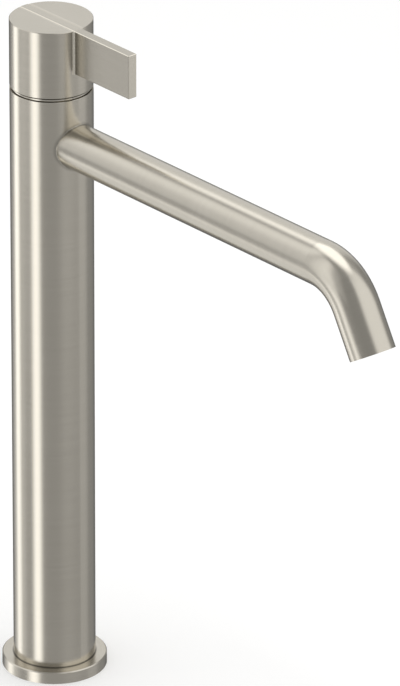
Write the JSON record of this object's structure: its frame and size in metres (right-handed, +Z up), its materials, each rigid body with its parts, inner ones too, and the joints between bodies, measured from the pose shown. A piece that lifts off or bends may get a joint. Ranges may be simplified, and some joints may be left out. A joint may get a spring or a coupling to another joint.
{
  "type": "tall basin mixer tap",
  "caption": "Tall round basin mixer tap: tube spout bent down at its end, turning cap with a flat lever blade, thin base flange and an under-deck clamp.",
  "frame": {"origin": "on the column's axis at deck level, on the foot's underside, which the flange is flush with", "axes": "+Z up the column, +X along the spout and the lever at rest, hot water inlet on the -Y side"},
  "size_m": [0.2648, 0.051, 0.4],
  "materials": {
    "nickel": "warm brushed nickel plating",
    "raw_brass": "machined",
    "zinc_steel": "bright zinc plated",
    "seal_rubber": "smooth black",
    "white_plastic": "moulded",
    "grey_plastic": "moulded",
    "disc_ceramic": "lapped"
  },
  "bodies": {
    "tap_body": {"column": "nickel", "base_flange": "nickel", "spout_tube": "nickel", "trim_ring": "nickel", "base_seal": "seal_rubber", "riser_seals": "seal_rubber", "valve_body_seals": "seal_rubber", "nipple_seal": "seal_rubber", "aerator_seal": "seal_rubber", "inlet_seals": "seal_rubber", "clamp_gasket": "seal_rubber", "base_insert": "raw_brass", "hot_riser_tube": "raw_brass", "cold_riser_tube": "raw_brass", "valve_body": "raw_brass", "spout_nipple": "raw_brass", "cartridge_nut": "raw_brass", "aerator_housing": "grey_plastic", "aerator_insert": "white_plastic", "cartridge_base": "white_plastic", "cartridge_housing": "grey_plastic", "fixed_disc": "disc_ceramic", "fixing_stud": "zinc_steel", "clamp_washer": "zinc_steel", "fixing_nut": "zinc_steel"},
    "handle": {"moving_disc": "disc_ceramic", "disc_carrier": "white_plastic", "cartridge_stem": "raw_brass", "stem_seal": "seal_rubber", "handle_adapter": "raw_brass", "grub_screw": "zinc_steel", "handle_cap": "nickel", "lever_blade": "nickel", "blade_screw": "zinc_steel"}
  },
  "joints": [
    {"name": "handle_turn", "type": "hinge", "parent": "tap_body", "child": "handle", "pos_m": [0, 0, 0.3065], "axis": [0, 0, 1], "range_deg": [0, 100]}
  ]
}
